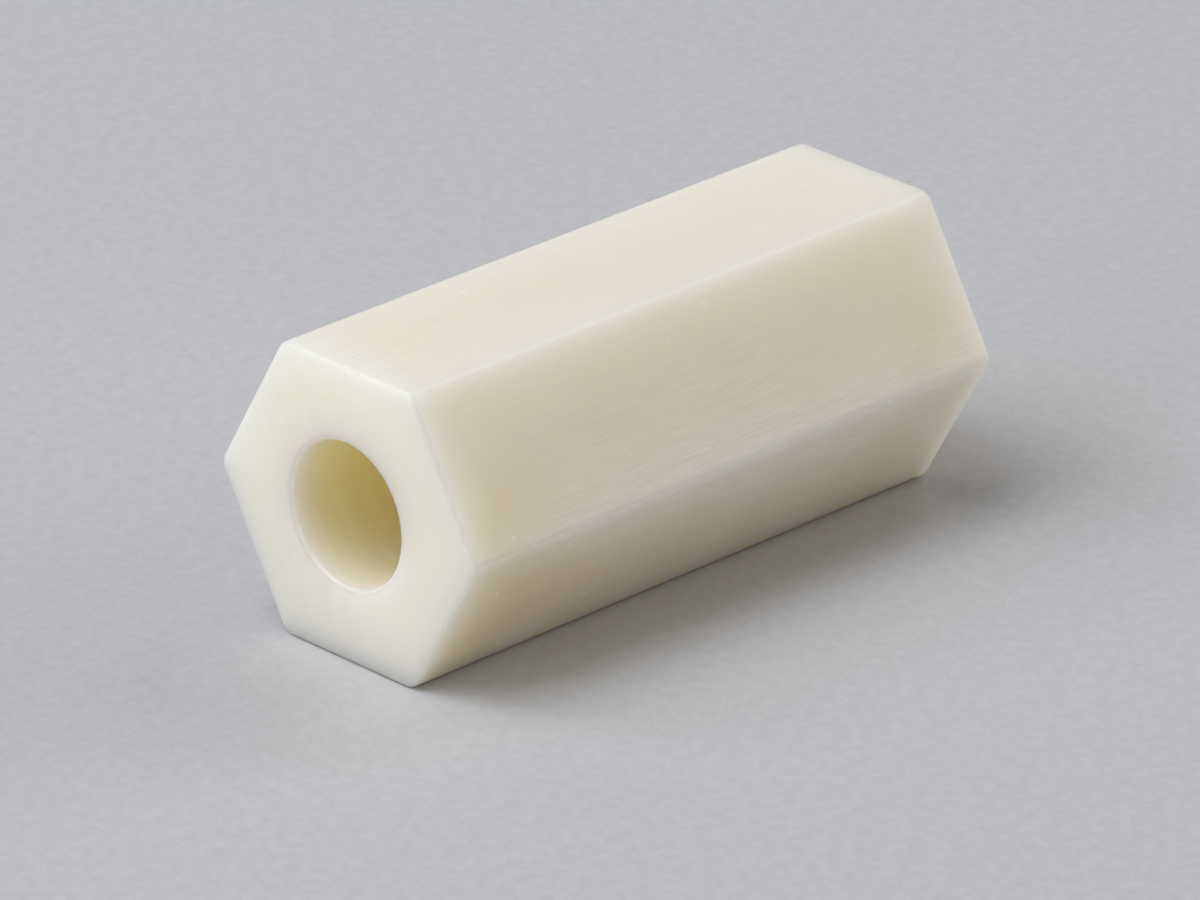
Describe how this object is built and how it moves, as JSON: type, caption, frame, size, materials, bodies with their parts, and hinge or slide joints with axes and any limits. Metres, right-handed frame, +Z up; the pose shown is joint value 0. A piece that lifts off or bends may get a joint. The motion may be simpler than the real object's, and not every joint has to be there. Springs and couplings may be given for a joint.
{
  "type": "hex standoff",
  "caption": "Hexagonal nylon standoff with a plain through bore for a screw; holds two boards or panels a set distance apart.",
  "frame": {"origin": "on the surface under the standoff, below the middle of its length", "axes": "+X along the bore, +Z up, square to the flat it lies on"},
  "size_m": [0.016, 0.008, 0.007],
  "materials": {
    "nylon": "satin, slightly translucent natural nylon"
  },
  "bodies": {
    "root": {"standoff_body": "nylon"}
  },
  "joints": []
}
